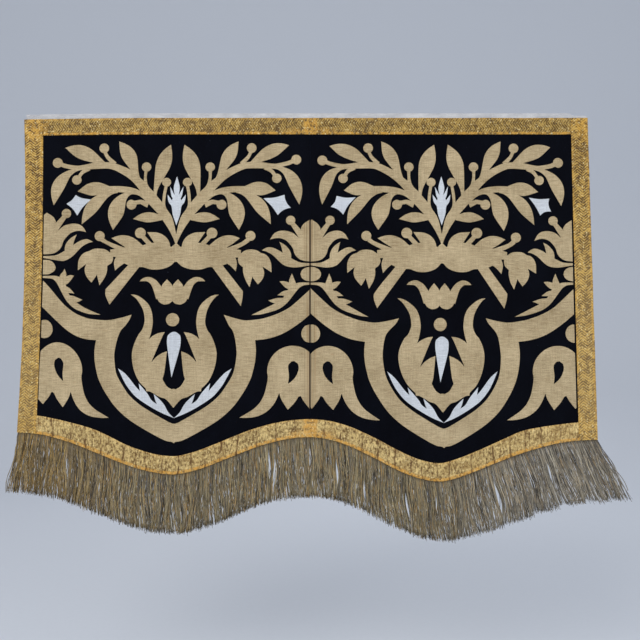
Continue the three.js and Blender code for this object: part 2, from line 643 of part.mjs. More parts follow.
// The fringe: a narrow woven strip behind the galloon's lower edge, with the loose threads growing out of
// it. They hang straight but for the left end, which leans out a little, and the right, which sweeps out.
function fringe() {
  const start = -WIDTHS.left.edge[2] + EDGE_INSET;
  const end = WIDTHS.right.edge[2] - EDGE_INSET;
  const tuckedIn = 2;
  const steps = 60;
  const threads = 236;
  const pitch = (end - start) / threads;
  const rootHalf = 0.42 * pitch;
  const tipHalf = 0.3 * pitch;
  const outline = [];
  for (let step = 0; step <= steps; step += 1) {
    const across = lerp(start, end, step / steps);
    outline.push(new THREE.Vector2(across, hem(across) - LAP));
  }
  for (let index = threads - 1; index >= 0; index -= 1) {
    const across = start + (index + 0.5) * pitch;
    const rootDown = hem(across) - tuckedIn;
    const uneven = Math.sin(index * 2.4) * 1.8 + Math.sin(index * 0.37) * 2.2;
    const tipDown = hem(across) + FRINGE_LENGTH + uneven;
    const clump = 0.5 * Math.sin(index * 1.9);
    const tip = across + Math.tan(THREE.MathUtils.degToRad(leanAt(across))) * (tipDown - rootDown) + clump;
    outline.push(
      new THREE.Vector2(across + rootHalf, hem(across + rootHalf) - tuckedIn),
      new THREE.Vector2(tip + tipHalf, tipDown),
      new THREE.Vector2(tip - tipHalf, tipDown),
      new THREE.Vector2(across - rootHalf, hem(across - rootHalf) - tuckedIn),
    );
  }
  return piece('fringe', 'fringe_thread', cutCloth(outline, 0, FRINGE_THICK));
}

// How far the threads lean to the right, in degrees.
function leanAt(across) {
  const rows = [
    { across: -608, lean: -7 },
    { across: -520, lean: -2.5 },
    { across: -420, lean: 0 },
    { across: 150, lean: 2 },
    { across: 300, lean: 9 },
    { across: 450, lean: 18 },
    { across: 600, lean: 25 },
  ];
  const next = Math.max(1, rows.findIndex((row) => row.across >= across));
  const low = rows[next - 1];
  const high = rows[next];
  return lerp(low.lean, high.lean, (across - low.across) / (high.across - low.across));
}

const hanging = new THREE.Group();
hanging.add(velvet('left'), velvet('right'), figures('left'), figures('right'));
hanging.add(...galloon(), heading(), fringe());
hanging.position.z = -HEADING_SHOWS;
hanging.rotation.x = Math.PI / 2;

const model = new THREE.Group();
model.add(hanging);

export default model;
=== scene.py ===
"""A velvet wall hanging: two widths of black velvet with gold and silver figures, a gold galloon, a white
heading and a metal-thread fringe. It hangs flat and upright, with its face along -Y."""

import math

import bmesh
import bpy
import numpy as np
from mathutils import Matrix, Vector, noise


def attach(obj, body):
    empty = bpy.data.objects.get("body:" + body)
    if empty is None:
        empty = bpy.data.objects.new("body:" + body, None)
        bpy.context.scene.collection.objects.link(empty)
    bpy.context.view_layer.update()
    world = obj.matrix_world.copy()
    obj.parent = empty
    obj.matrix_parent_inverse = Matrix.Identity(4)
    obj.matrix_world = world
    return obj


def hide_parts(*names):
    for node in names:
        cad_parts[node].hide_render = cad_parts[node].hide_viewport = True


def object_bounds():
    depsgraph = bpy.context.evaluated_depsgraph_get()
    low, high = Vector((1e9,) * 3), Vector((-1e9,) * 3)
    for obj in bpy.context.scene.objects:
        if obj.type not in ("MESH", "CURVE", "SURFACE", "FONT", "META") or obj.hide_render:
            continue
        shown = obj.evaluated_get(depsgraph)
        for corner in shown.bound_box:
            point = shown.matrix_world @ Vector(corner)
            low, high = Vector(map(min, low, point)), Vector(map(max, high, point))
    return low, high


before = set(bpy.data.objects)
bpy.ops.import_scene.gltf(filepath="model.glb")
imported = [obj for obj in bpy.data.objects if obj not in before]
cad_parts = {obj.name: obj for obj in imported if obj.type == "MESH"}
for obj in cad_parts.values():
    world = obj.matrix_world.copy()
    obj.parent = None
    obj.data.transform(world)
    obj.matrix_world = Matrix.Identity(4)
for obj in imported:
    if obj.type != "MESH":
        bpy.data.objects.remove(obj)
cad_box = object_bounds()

# Velvet: two loom widths of black cut pile on a dark woven ground, each cut to a scallop below. They are
# sewn together up the middle, where both roll back into the seam. Sizes are in millimetres: across to the
# right of the seam, down from the galloon's top edge, and out from the wall.

HEADING_SHOWS = 11.0
DROP_AT_SEAM = 674.0
LAP = 15.0
CLOTH_BACK = 0.1
PILE_OUT = 1.92
PILE_RIPPLE = 0.07
SEAM_ROLL = dict(deep=1.7, wide=2.6)
INSIDE_EDGE = 2.1
SIDE_CUT_ENDS = 660
TOP_FALLS = dict(by=3.5, left_of=-300)
CREASE = math.radians(50)

WIDTHS = {
    "left": dict(sign=-1, edge=(608, 600, 607.5), galloon=(40, 36.5, 39.5),
                 lowest_at=282, lowest=750, corner=664, round=(0.85, 0.95)),
    "right": dict(sign=1, edge=(590, 593, 596), galloon=(36, 37.5, 39),
                  lowest_at=270, lowest=764.5, corner=679, round=(0.97, 0.74)),
}


def place(across, down, out):
    """A point in metres from its millimetres across, down and out."""
    return Vector((across, -out, -(down + HEADING_SHOWS))) / 1000


def lerp(start, end, share):
    return start + (end - start) * share


def along_side(values, down):
    """Eases through the values at the top, halfway down and at the foot."""
    top, waist, foot = values
    share = min(max(down / DROP_AT_SEAM, 0), 1)
    return lerp(top, foot, share) + (waist - (top + foot) / 2) * 4 * share * (1 - share)


def outer_edge(width, down):
    return width["sign"] * along_side(width["edge"], down)


def top_edge(across):
    start = TOP_FALLS["left_of"]
    share = (start - across) / (WIDTHS["left"]["edge"][0] + start)
    return TOP_FALLS["by"] * min(max(share, 0), 1) ** 2


def hem(across):
    """How far down the scalloped edge is."""
    width = WIDTHS["left" if across < 0 else "right"]
    past = abs(across) - width["lowest_at"]
    crest = DROP_AT_SEAM if past < 0 else width["corner"]
    reach = width["lowest_at"] if past < 0 else width["edge"][2] - width["lowest_at"]
    share = min(abs(past) / reach, 1) ** width["round"][0 if past < 0 else 1]
    return lerp(width["lowest"], crest, (1 - math.cos(math.pi * share)) / 2)


def linked(name, data):
    piece = bpy.data.objects.new(name, data)
    bpy.context.scene.collection.objects.link(piece)
    return piece


def fixed_for(piece, node):
    """The piece stands in for a fixed node, which is hidden, and hangs from the root body."""
    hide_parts(node)
    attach(piece, "root")


def woven(name, columns, rows, lie, back=CLOTH_BACK):
    """A closed piece of cloth. lie(along, across) gives its face from the shares of its two sides, and its
    back is flat."""
    mesh = bmesh.new()
    mesh.loops.layers.uv.new("Lie")
    bmesh.ops.create_grid(mesh, x_segments=columns, y_segments=rows, size=0.5, calc_uvs=True)
    for vert in mesh.verts:
        vert.co = place(*lie(vert.co.x + 0.5, 0.5 - vert.co.y))
    behind = bmesh.ops.extrude_face_region(mesh, geom=mesh.faces[:], use_keep_orig=True)
    for part in behind["geom"]:
        if isinstance(part, bmesh.types.BMVert):
            part.co.y = -back / 1000
    bmesh.ops.recalc_face_normals(mesh, faces=mesh.faces)
    mesh.verts.index_update()
    count = len(mesh.verts)

    def in_order(face):
        corners = [vert.index for vert in face.verts]
        return min(corners) * count + max(corners)

    mesh.faces.sort(key=in_order)
    for face in mesh.faces:
        face.smooth = True
    for edge in mesh.edges:
        edge.smooth = edge.calc_face_angle(0) < CREASE
    data = bpy.data.meshes.new(name)
    mesh.to_mesh(data)
    mesh.free()
    return linked(name, data)


class Value:
    """A number, colour or vector that changes over a surface. Arithmetic on it adds Math nodes."""

    def __init__(self, surface, socket):
        self.surface = surface
        self.socket = socket

    def math(self, operation, *values):
        return self.surface.node("ShaderNodeMath", {"operation": operation}, dict(enumerate(values)))

    def __add__(self, other):
        return self.math("ADD", self, other)

    def __sub__(self, other):
        return self.math("SUBTRACT", self, other)

    def __rsub__(self, other):
        return self.math("SUBTRACT", other, self)

    def __mul__(self, other):
        return self.math("MULTIPLY", self, other)

    __radd__ = __add__
    __rmul__ = __mul__

    def wave(self, length):
        """Goes from 0 to 1 and back once in each length."""
        return self.math("SINE", self * (2 * math.pi / length)) * 0.5 + 0.5

    def step(self, low, high):
        """Goes smoothly from 0 at low to 1 at high, which may be the smaller of the two."""
        ends = (0, 1) if low < high else (1, 0)
        return self.surface.node("ShaderNodeMapRange", {"interpolation_type": "SMOOTHSTEP"}, {
            "Value": self, "From Min": min(low, high), "From Max": max(low, high),
            "To Min": ends[0], "To Max": ends[1]})


class Surface:
    """A material. Constant finishes are set on the shader's own sockets."""

    def __init__(self, name, **finishes):
        self.material = bpy.data.materials.new(name)
        self.material.use_nodes = True
        self.tree = self.material.node_tree
        self.shader = self.tree.nodes["Principled BSDF"].inputs
        for finish, value in finishes.items():
            self.feed(self.shader[finish.replace("_", " ")], value)

    def feed(self, socket, value):
        if isinstance(value, Value):
            self.tree.links.new(value.socket, socket)
        elif socket.type == "RGBA":
            socket.default_value = (*value, 1)
        else:
            socket.default_value = value

    def node(self, kind, settings, sockets, output=0):
        node = self.tree.nodes.new(kind)
        for setting, value in settings.items():
            setattr(node, setting, value)
        for socket, value in sockets.items():
            self.feed(node.inputs[socket], value)
        return Value(self, node.outputs[output])

    def axes(self, coordinates="Object"):
        at = self.node("ShaderNodeTexCoord", {}, {}, coordinates)
        return [self.node("ShaderNodeSeparateXYZ", {}, {0: at}, axis) for axis in "XYZ"]

    def grain(self, x, y, z, detail=2.0, roughness=0.5):
        """Noise from 0 to 1 at coordinates that are already scaled."""
        at = self.node("ShaderNodeCombineXYZ", {}, {0: x, 1: y, 2: z})
        return self.node("ShaderNodeTexNoise", {}, {
            "Vector": at, "Scale": 1.0, "Detail": detail, "Roughness": roughness}, "Fac")

    def blend(self, share, first, second):
        return self.node("ShaderNodeMix", {"data_type": "RGBA"}, {0: share, 6: first, 7: second}, 2)

    def finish(self, color, roughness, height, relief):
        self.feed(self.shader["Base Color"], color)
        self.feed(self.shader["Roughness"], roughness)
        self.feed(self.shader["Normal"], self.node("ShaderNodeBump", {}, {
            "Height": height, "Distance": relief, "Strength": 1.0}))
        return self.material


def paint(red, green, blue):
    """A colour as it looks on a screen, from 0 to 255, as light."""
    return tuple(((part / 255 + 0.055) / 1.055) ** 2.4 if part > 10 else part / 255 / 12.92
                 for part in (red, green, blue))


def velvet_face():
    surface = Surface("velvet_pile", Sheen_Weight=0.05, Sheen_Roughness=0.5, Sheen_Tint=(0.4, 0.5, 0.9),
                      Specular_IOR_Level=0.06)
    x, y, z = surface.axes()
    # Patches where the pile lies another way are painted lighter in the colour as sheen; they also vary the
    # roughness.
    pile_lie_sheen = surface.grain(x * 14, y, z * 9, 3.0, 0.6)
    tufts = surface.grain(x * 1300, y * 1300, z * 1300, 1.0)
    lint = surface.grain(x * 260, y, z * 260, 1.0).step(0.76, 0.82)
    # The colour mixes the painted sheen of the pile's lie with the fine grain of the tufts.
    depth = pile_lie_sheen.step(0.3, 0.75) * 0.6 + tufts * 0.5
    color = surface.blend(depth, paint(1, 1, 4), paint(7, 9, 17))
    color = surface.blend(lint * 0.35, color, paint(92, 96, 112))
    return surface.finish(color, 0.85 + pile_lie_sheen * 0.1, tufts, 0.0006)


def velvet_back():
    surface = Surface("velvet_ground", Specular_IOR_Level=0.2)
    x, y, z = surface.axes()
    threads = z.wave(0.0011) * x.wave(0.0009)
    cloudy = surface.grain(x * 30, y, z * 25, 3.0)
    off_seam = x.math("ABSOLUTE", x)
    color = surface.blend(threads * 0.5 + cloudy * 0.5, paint(20, 18, 20), paint(58, 51, 46))
    color = surface.blend(off_seam.step(0.0105, 0.0095) * 0.6, color, paint(92, 78, 62))
    stitches = z.wave(0.006).step(0.35, 0.5) * off_seam.step(0.0016, 0.0008)
    color = surface.blend(stitches * 0.9, color, paint(14, 12, 12))
    return surface.finish(color, 0.9, threads - stitches * 2.0, 0.0002)


velvet_materials = (velvet_face(), velvet_back())
velvets = []
for side, width in WIDTHS.items():
    def velvet_lie(along, share, width=width):
        reach = abs(outer_edge(width, lerp(LAP, SIDE_CUT_ENDS, share))) - INSIDE_EDGE
        off_seam = reach * along ** 1.5
        across = width["sign"] * off_seam
        down = lerp(top_edge(across) + LAP + 0.4, hem(across) - LAP - 1.0, share)
        rolled = SEAM_ROLL["deep"] * (1 - min(off_seam / SEAM_ROLL["wide"], 1)) ** 2
        ripple = noise.noise(Vector((across / 70, down / 90, 3.1))) * PILE_RIPPLE
        return across, down, PILE_OUT - rolled + ripple

    cloth = woven(f"velvet_{side}_cloth", 90, 72, velvet_lie)
    for material in velvet_materials:
        cloth.data.materials.append(material)
    for face in cloth.data.polygons:
        face.material_index = 1 if face.normal.y > 0.6 else 0
    fixed_for(cloth, f"velvet_{side}")
    velvets.append(cloth)


# Figures: gold and silver tabby of flat metal thread, cut to the ornament and laid on the velvet with its
# edges turned under. Each follows the face of its fixed solid, with the bends rounded.

SEAM_SHOWS = 0.9
FIGURE_OUT = (2.1, 3.05)
TURNED_EDGE = 0.15
SHARP_CORNER = math.radians(38)
BEND_STEP = 2.2
SILVER_FIGURES = ("flame", "star", "drop", "spray")


def metal_cloth(name, dark, light, rust):
    surface = Surface(name, Metallic=0.08, Specular_IOR_Level=0.35, Sheen_Weight=0.05)
    x, y, z = surface.axes()
    slubs = surface.grain(x * 42, y, z * 560, 3.0, 0.6)
    weft = surface.grain(x * 130, y, z * 1400, 2.0)
    flecks = surface.grain(x * 700, y, z * 700, 2.0, 0.6)
    warp = surface.grain(x * 620, y, z * 26, 2.0)
    cloudy = surface.grain(x * 13, y, z * 15, 3.0)
    off_seam = x.math("ABSOLUTE", x)
    selvedge = surface.grain(x * 560, y, z * 5, 2.0).step(0.34, 0.62)
    near_seam = off_seam.step(0.019, 0.007)
    tone = slubs * 1.3 + weft * 0.6 + flecks * 1.3 + warp * 0.6 + cloudy * 0.7 - 1.75
    tone = tone * (1 - near_seam * 0.6) + selvedge * near_seam * 0.45
    color = surface.blend(tone, dark, light)
    worn = surface.grain(x * 70, y, z * 120, 4.0, 0.7).step(0.56, 0.78)
    color = surface.blend(worn * 0.55, color, rust)
    streaked = surface.grain(x * 330, y, z * 3, 1.0).step(0.5, 0.66) * near_seam
    color = surface.blend(streaked * 0.5, color, rust)
    # Within about 3 mm of the seam the cloth is painted dark brown: painted shadow of the seam.
    color = surface.blend(off_seam.step(0.0032, 0.001) * 0.75, color, paint(66, 50, 34))
    height = z.wave(0.0012) + slubs * 1.4 + selvedge * near_seam * 1.5
    return surface.finish(color, 0.62 - slubs * 0.15, height, 0.00025)


cloths = {
    "gold_cloth": metal_cloth("gold_cloth", paint(130, 110, 74), paint(213, 192, 153), paint(158, 120, 74)),
    "silver_cloth": metal_cloth("silver_cloth", paint(172, 176, 182), paint(222, 227, 232),
                                paint(164, 160, 158)),
}


def rims(node):
    """The closed lines round the face of a flat node, as points of x and z."""
    mesh = bmesh.new()
    mesh.from_mesh(node.data)
    bmesh.ops.remove_doubles(mesh, verts=mesh.verts, dist=1e-6)
    mesh.normal_update()
    neighbours = {}
    for edge in mesh.edges:
        facing = [face.normal.y < -0.9 for face in edge.link_faces]
        if facing.count(True) == 1:
            first, second = edge.verts
            neighbours.setdefault(first.index, []).append(second.index)
            neighbours.setdefault(second.index, []).append(first.index)
    points = {vert.index: Vector((vert.co.x, vert.co.z)) for vert in mesh.verts}
    mesh.free()
    lines = []
    while neighbours:
        start = next(iter(neighbours))
        line = [start]
        corner = start
        while neighbours.get(corner):
            following = neighbours[corner].pop()
            neighbours[following].remove(corner)
            if not neighbours[corner]:
                del neighbours[corner]
            corner = following
            if corner != start:
                line.append(corner)
        neighbours.pop(corner, None)
        if len(line) > 2:
            lines.append([points[index] for index in line])
    return lines


def rounded(line):
    """The line with its soft bends drawn as curves. Sharp corners stay, and nothing comes over the seam."""
    count = len(line)
    sharp = []
    for index, point in enumerate(line):
        before = point - line[index - 1]
        after = line[(index + 1) % count] - point
        sharp.append(before.angle(after, 0) > SHARP_CORNER)
    fine = []
    for index, point in enumerate(line):
        after = line[(index + 1) % count]
        chord = after - point
        leaving = chord if sharp[index] else (after - line[index - 1]).normalized() * chord.length
        arriving = (chord if sharp[(index + 1) % count]
                    else (line[(index + 2) % count] - point).normalized() * chord.length)
        steps = max(1, min(8, round(chord.length / (BEND_STEP / 1000))))
        for step in range(steps):
            share = step / steps
            square, cube = share ** 2, share ** 3
            bend = (point * (2 * cube - 3 * square + 1) + leaving * (cube - 2 * square + share)
                    + after * (3 * square - 2 * cube) + arriving * (cube - square))
            bend.x = math.copysign(max(abs(bend.x), SEAM_SHOWS / 1000), bend.x)
            fine.append(bend)
    return fine


def from_curve(name, curve):
    """The curve's surface as a mesh."""
    shape = linked(name, curve)
    data = bpy.data.meshes.new_from_object(shape.evaluated_get(bpy.context.evaluated_depsgraph_get()))
    bpy.data.objects.remove(shape)
    return data


def cut_out(name, lines):
    """Flat cloth inside the lines, with rounded edges."""
    low, high = FIGURE_OUT[0] / 1000, FIGURE_OUT[1] / 1000
    turn = TURNED_EDGE / 1000
    outline = bpy.data.curves.new(name, "CURVE")
    outline.dimensions = "2D"
    outline.fill_mode = "BOTH"
    outline.extrude = (high - low) / 2 - turn
    outline.bevel_depth = turn
    outline.bevel_resolution = 1
    for line in lines:
        spline = outline.splines.new("POLY")
        spline.points.add(len(line) - 1)
        spline.points.foreach_set("co", [part for point in line for part in (point.x, point.y, 0, 1)])
        spline.use_cyclic_u = True
    data = from_curve(name, outline)
    data.transform(Matrix.Translation((0, -(low + high) / 2, 0)) @ Matrix.Rotation(math.pi / 2, 4, "X"))
    return linked(name, data)


figures = []
for node_name in sorted(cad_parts):
    if node_name.startswith(("left_", "right_")):
        silver = any(word in node_name for word in SILVER_FIGURES)
        finish = "silver_cloth" if silver else "gold_cloth"
        figure = cut_out(node_name + "_cloth", [rounded(line) for line in rims(bpy.data.objects[node_name])])
        figure.data.materials.append(cloths[finish])
        fixed_for(figure, node_name)
        figures.append(figure)


# Galloon: gold metal braid in a herringbone weave between plain edges, in four lengths sewn over the
# velvet's edges. The bottom length is gathered into small tucks to follow the scallops.

GALLOON_WIDTH = 37.5
TOP_GALLOON_WIDTH = 35.5
BRAID_BACK = 2.25
BRAID_THICK = 1.05
BRAID_GAP = 0.4
BRAID_RIDGE = 11.5 / 1000
RIB = 5.8 / 1000
BRAID_ROWS = 16


def inner_edge(width, down):
    return outer_edge(width, down) - width["sign"] * along_side(width["galloon"], down)


def braid_out(across_share, full):
    """How far out the braid stands. Its edges are rounded down to the velvet."""
    in_from_edge = min(across_share, 1 - across_share)
    return BRAID_BACK + full * (0.35 + 0.65 * min(in_from_edge / 0.05, 1) ** 0.5)


def braid_material(name, dark, light, bright, brown, length, width, gilt_foot, gathered=False,
                   pale_below=None):
    """Gilt braid. Its pattern lies along and across the piece's own face, in metres."""
    surface = Surface(name, Metallic=0.3, Specular_IOR_Level=0.35)
    x, y, z = surface.axes()
    u, v, _ = surface.axes("UV")
    along = u * length
    across = ((v * math.pi).math("COSINE", v * math.pi) * 0.5 + 0.5) * width
    if gathered:
        ribs = surface.grain(along * 300, across * 110, 1.0, 3.0, 0.65).step(0.34, 0.64)
    else:
        ribs = (along + across.math("PINGPONG", across, BRAID_RIDGE) * 0.8).wave(RIB).step(0.15, 0.85)
    fineness = 210 if gathered else 135
    grains = surface.grain(x * fineness, y * fineness, z * fineness, 3.0, 0.7)
    patches = surface.grain(x * 46, y, z * 46, 4.0, 0.65)
    tarnish = surface.grain(x * 17, y, z * 17 + 7, 3.0, 0.6).step(0.45, 0.66)
    grain_share, pit_share, top_share = (2.0, 0.25, 0.25) if gathered else (3.0, 0.45, 0.5)
    rib_share = 0.6
    tone = ribs * rib_share + (grains - 0.5) * grain_share + (patches - 0.5) * 2.0 + 0.46 - rib_share / 2
    color = surface.blend(tone, dark, light)
    color = surface.blend(tarnish * 0.35, color, brown)
    if pale_below:
        color = surface.blend(z.step(-0.12, -0.5) * 0.22, color, pale_below)
    off_seam = x.math("ABSOLUTE", x)
    off_corner = (off_seam - 0.585).math("ABSOLUTE", off_seam - 0.585)
    ends = z.step(-0.075, -0.045) + z.step(-0.62, -0.67) * 0.4
    gilt = across.step(0.0048, 0.0026) * top_share
    foot_share = 0.55 if pale_below else 1.0
    for patch in (across.step(width - gilt_foot - 0.002, width - gilt_foot) * foot_share,
                  (off_seam + patches * 0.02).step(0.029, 0.021) * 0.9,
                  (off_seam + patches * 0.05).step(0.085, 0.06) * across.step(width / 2, width * 0.8) * 0.7,
                  (off_corner + patches * 0.06).step(0.066, 0.036) * ends * 0.7):
        gilt = gilt.math("MAXIMUM", gilt, patch)
    color = surface.blend(gilt * grains.step(0.32, 0.6) * 0.85, color, bright)
    pits = grains.step(0.45, 0.37) * patches.step(0.3, 0.6)
    color = surface.blend(pits * pit_share, color, paint(78, 58, 38))
    # Small bright specks of pale gold are painted glints on the metal braid.
    painted_sparkle = surface.grain(x * 260, y * 260, z * 260 + 5, 1.0).step(0.6, 0.72)
    color = surface.blend(painted_sparkle * 0.65, color, paint(236, 214, 156))
    # Dark brown along the line beside each tuck of the hem braid is painted shade in the fold.
    fold_shade = surface.node("ShaderNodeAttribute", {"attribute_name": "fold"}, {}, "Fac")
    color = surface.blend(fold_shade * 0.9, color, paint(92, 60, 26))
    height = ribs * (1 - gilt * 0.8) + grains * 1.2
    return surface.finish(color, 0.42 + grains * 0.25, height, 0.0005)


side_gold = braid_material("galloon_sides", paint(80, 54, 12), paint(200, 163, 84), paint(198, 150, 58),
                           paint(122, 92, 44), 0.68, 0.0385, 0.004, pale_below=paint(206, 176, 118))
top_gold = braid_material("galloon_top", paint(88, 64, 20), paint(180, 148, 78), paint(194, 144, 54),
                          paint(104, 80, 42), 1.2, 0.0355, 0.004)
hem_gold = braid_material("galloon_hem", paint(104, 76, 36), paint(222, 194, 130), paint(208, 152, 62),
                          paint(172, 138, 78), 1.3, 0.041, 0.006, gathered=True)

galloons = []


def evened(share):
    """Crowds the rows of a grid towards both edges, where the braid is round."""
    return (1 - math.cos(math.pi * share)) / 2


def finish_braid(piece, material, node):
    piece.data.materials.append(material)
    fixed_for(piece, node)
    galloons.append(piece)


for side, width in WIDTHS.items():
    def side_lie(along, share, width=width):
        share = evened(share)
        down = along * width["corner"]
        edges = sorted((outer_edge(width, down), inner_edge(width, down)))
        wobble = 0.45 * noise.noise(Vector((along * 9, width["sign"] * 5, share)))
        across = lerp(edges[0], edges[1], share) + wobble
        uneven = 0.14 * noise.noise(Vector((along * 14, share * 1.5, width["sign"] * 2)))
        return across, lerp(top_edge(across), hem(across), along), braid_out(share, BRAID_THICK + uneven)

    finish_braid(woven(f"galloon_{side}_braid", 240, BRAID_ROWS, side_lie, BRAID_BACK), side_gold,
                 f"galloon_{side}")


def between_sides(down_left, down_right, along):
    """How far across a length of braid is that is butted to the upright ones."""
    return lerp(inner_edge(WIDTHS["left"], down_left) + BRAID_GAP,
                inner_edge(WIDTHS["right"], down_right) - BRAID_GAP, along)


def top_lie(along, share):
    share = evened(share)
    across = between_sides(20, 20, along)
    wobble = 0.4 * noise.noise(Vector((along * 16, share, 8)))
    uneven = 0.12 * noise.noise(Vector((along * 22, share * 1.5, 4)))
    down = top_edge(across) + share * TOP_GALLOON_WIDTH + wobble
    return across, down, braid_out(share, BRAID_THICK + uneven)


finish_braid(woven("galloon_top_braid", 360, BRAID_ROWS, top_lie, BRAID_BACK), top_gold, "galloon_top")

TUCKS = [
    dict(at=0.028, depth=0.4, slant=2), dict(at=0.062, depth=0.5, slant=-1),
    dict(at=0.09, depth=1.0, slant=1), dict(at=0.118, depth=0.5, slant=3),
    dict(at=0.16, depth=0.9, slant=-2), dict(at=0.182, depth=0.4, slant=0),
    dict(at=0.2, depth=0.8, slant=2), dict(at=0.232, depth=0.5, slant=-3),
    dict(at=0.26, depth=1.0, slant=-1), dict(at=0.285, depth=0.5, slant=2),
    dict(at=0.31, depth=0.8, slant=1), dict(at=0.338, depth=0.5, slant=-2),
    dict(at=0.37, depth=0.9, slant=-2), dict(at=0.405, depth=0.5, slant=1),
    dict(at=0.44, depth=0.8, slant=2), dict(at=0.475, depth=0.4, slant=0),
    dict(at=0.53, depth=0.4, slant=-1), dict(at=0.56, depth=0.8, slant=2),
    dict(at=0.6, depth=0.9, slant=-3), dict(at=0.628, depth=0.5, slant=0),
    dict(at=0.66, depth=1.0, slant=2), dict(at=0.688, depth=0.5, slant=-1),
    dict(at=0.71, depth=0.8, slant=1), dict(at=0.736, depth=0.5, slant=3),
    dict(at=0.76, depth=0.9, slant=-1), dict(at=0.8, depth=0.5, slant=2),
    dict(at=0.84, depth=1.0, slant=4), dict(at=0.872, depth=0.5, slant=2),
    dict(at=0.9, depth=0.5, slant=1), dict(at=0.93, depth=0.9, slant=3),
    dict(at=0.965, depth=0.4, slant=-1),
]
HEM_COLUMNS = 1100
HEM_LENGTH = 1122
EASED = dict(by=5.5, at=440, wide=50)


def tucks_near(along, share):
    """How far the tucks lift the braid, and how dark the painted shade in the line beside each fold is."""
    lift = shade = 0.0
    bend = 3.4 * noise.noise(Vector((along * 40, share * 3, 6)))
    for tuck in TUCKS:
        off = (along - tuck["at"]) * HEM_LENGTH - tuck["slant"] * (share - 0.5) - bend
        if abs(off) < 7:
            reach = 0.4 + 0.6 * share
            fold = math.exp(-(off / 0.9) ** 2) - 0.55 * math.exp(-((off - 1.9) / 0.8) ** 2)
            lift += tuck["depth"] * reach * fold
            shade += max(tuck["depth"], 0.75) * math.exp(-((off - 1.5) / 1.45) ** 2)
    return lift, shade


def hem_lie(along, share):
    share = evened(share)
    across = between_sides(WIDTHS["left"]["corner"] - 20, WIDTHS["right"]["corner"] - 20, along)
    slope = math.atan((hem(across + 6) - hem(across - 6)) / 12)
    eased = EASED["by"] * math.exp(-((abs(across) - EASED["at"]) / EASED["wide"]) ** 2)
    wobble = 0.5 * noise.noise(Vector((along * 34, share * 0.8, 1)))
    puff = 0.16 * noise.noise(Vector((along * 60, share * 1.6, 9)))
    down = hem(across) - (1 - share) * (GALLOON_WIDTH / math.cos(slope) + eased) + wobble
    return across, down, braid_out(share, BRAID_THICK + 0.1 + 0.95 * tucks_near(along, share)[0] + puff)


hem_braid = woven("galloon_hem_braid", HEM_COLUMNS, BRAID_ROWS, hem_lie, BRAID_BACK)
# Each corner of the hem braid gets how dark the painted shade beside the tucks is, broken up by noise.
painted_fold_shade = np.zeros(len(hem_braid.data.vertices))
for index in range((HEM_COLUMNS + 1) * (BRAID_ROWS + 1)):
    row, column = divmod(index, HEM_COLUMNS + 1)
    along, share = column / HEM_COLUMNS, evened(1 - row / BRAID_ROWS)
    broken = 0.95 + 2.2 * noise.noise(Vector((along * 60, share * 4, 2)))
    painted_fold_shade[index] = min(max(tucks_near(along, share)[1] * broken, 0), 1)
fold_shade_layer = hem_braid.data.attributes.new("fold", "FLOAT", "POINT")
fold_shade_layer.data.foreach_set("value", painted_fold_shade)
finish_braid(hem_braid, hem_gold, "galloon_bottom")


# Heading: a doubled strip of off-white cotton behind the velvet, turned in at its right end. It stands above
# the galloon, and the hanging is held by it.

HEADING_NARROW = dict(shows=5.5, from_across=550, over=9)


def cotton():
    surface = Surface("heading_cotton", Specular_IOR_Level=0.2)
    x, y, z = surface.axes()
    threads = z.wave(0.0009) * x.wave(0.0009)
    soiled = surface.grain(x * 24, y, z * 60, 3.0, 0.6)
    color = surface.blend(soiled.step(0.3, 0.75), paint(178, 178, 180), paint(206, 205, 204))
    color = surface.blend(threads * 0.3, color, paint(156, 157, 164))
    return surface.finish(color, 0.92, threads, 0.0002)


def heading_lie(along, share):
    across = lerp(-WIDTHS["left"]["edge"][0] + 4, WIDTHS["right"]["edge"][0] - 2, along)
    cut_back = min(max((across - HEADING_NARROW["from_across"]) / HEADING_NARROW["over"], 0), 1)
    shows = lerp(HEADING_SHOWS, HEADING_NARROW["shows"], cut_back * cut_back * (3 - 2 * cut_back))
    fray = 0.5 * noise.noise(Vector((across / 9, 0, 0))) + 1.5 * noise.noise(Vector((across / 60, 2, 0)))
    bulge = 0.12 * noise.noise(Vector((across / 30, 5, 0)))
    down = top_edge(across) + lerp(abs(fray) - shows, LAP - 0.4, share ** 2)
    return across, down, lerp(0.7, 1.85 + bulge, min(share / 0.2, 1) ** 0.5)


heading = woven("heading_strip", 300, 14, heading_lie)
heading.data.materials.append(cotton())
fixed_for(heading, "heading")


# Fringe: silk threads wrapped in metal, looped over a narrow woven strip behind the galloon. They hang
# close together, part here and there, and sweep out in locks at the right end.

